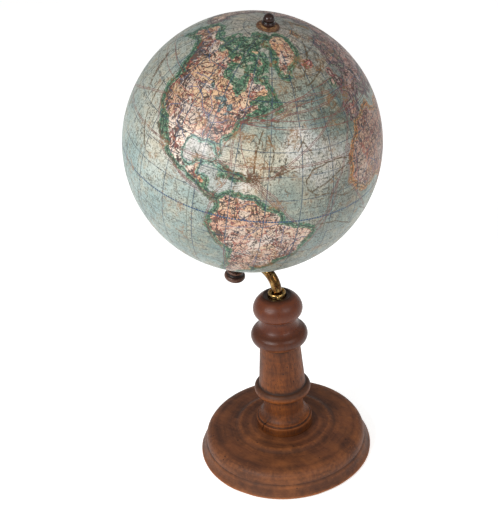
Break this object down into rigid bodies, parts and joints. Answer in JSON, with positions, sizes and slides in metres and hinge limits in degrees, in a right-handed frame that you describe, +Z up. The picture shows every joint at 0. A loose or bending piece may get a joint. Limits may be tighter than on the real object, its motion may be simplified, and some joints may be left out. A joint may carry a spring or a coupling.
{
  "type": "desktop globe",
  "caption": "Antique style desktop globe that spins on a tilted axle, held from below by a bent brass arm on a turned wooden column and round base.",
  "frame": {"origin": "centre of the underside, where the stand rests on the table", "axes": "+Z up along the column, the arm bends towards -X and the globe's north end leans towards +X"},
  "size_m": [0.2196, 0.22, 0.4355],
  "materials": {
    "stained_wood": "satin stained and waxed, worn paler at the edges",
    "dark_wood": "dark brown polish",
    "pale_wood": "bare",
    "brass": "aged, rubbed bright on high spots",
    "steel": "dull",
    "leather": "worn tan",
    "baize": "matt wool",
    "card": "plastered card",
    "map_paper": "printed and varnished, aged"
  },
  "bodies": {
    "stand": {"base_felt": "baize", "base_disc": "stained_wood", "column": "stained_wood", "column_screw": "steel", "column_screw_washer": "steel", "socket_collar": "brass", "collar_set_screw": "brass", "arm": "brass", "axle": "steel", "south_leather_washer": "leather", "south_brass_washer": "brass", "south_knob": "dark_wood", "north_leather_disc": "leather", "north_finial": "dark_wood"},
    "globe": {"shell_north": "card", "shell_south": "card", "equator_strip": "card", "inner_pillar": "pale_wood", "pole_block_north": "pale_wood", "pole_block_south": "pale_wood", "bush_north": "brass", "bush_south": "brass", "polar_paper_north": "map_paper", "polar_paper_south": "map_paper", "gore_01": "map_paper", "gore_02": "map_paper", "gore_03": "map_paper", "gore_04": "map_paper", "gore_05": "map_paper", "gore_06": "map_paper", "gore_07": "map_paper", "gore_08": "map_paper", "gore_09": "map_paper", "gore_10": "map_paper", "gore_11": "map_paper", "gore_12": "map_paper"}
  },
  "joints": [
    {"name": "globe_spin", "type": "hinge", "parent": "stand", "child": "globe", "pos_m": [-0.0175, 0, 0.3172], "axis": [0.2284, 0, 0.9736], "continuous": true}
  ]
}
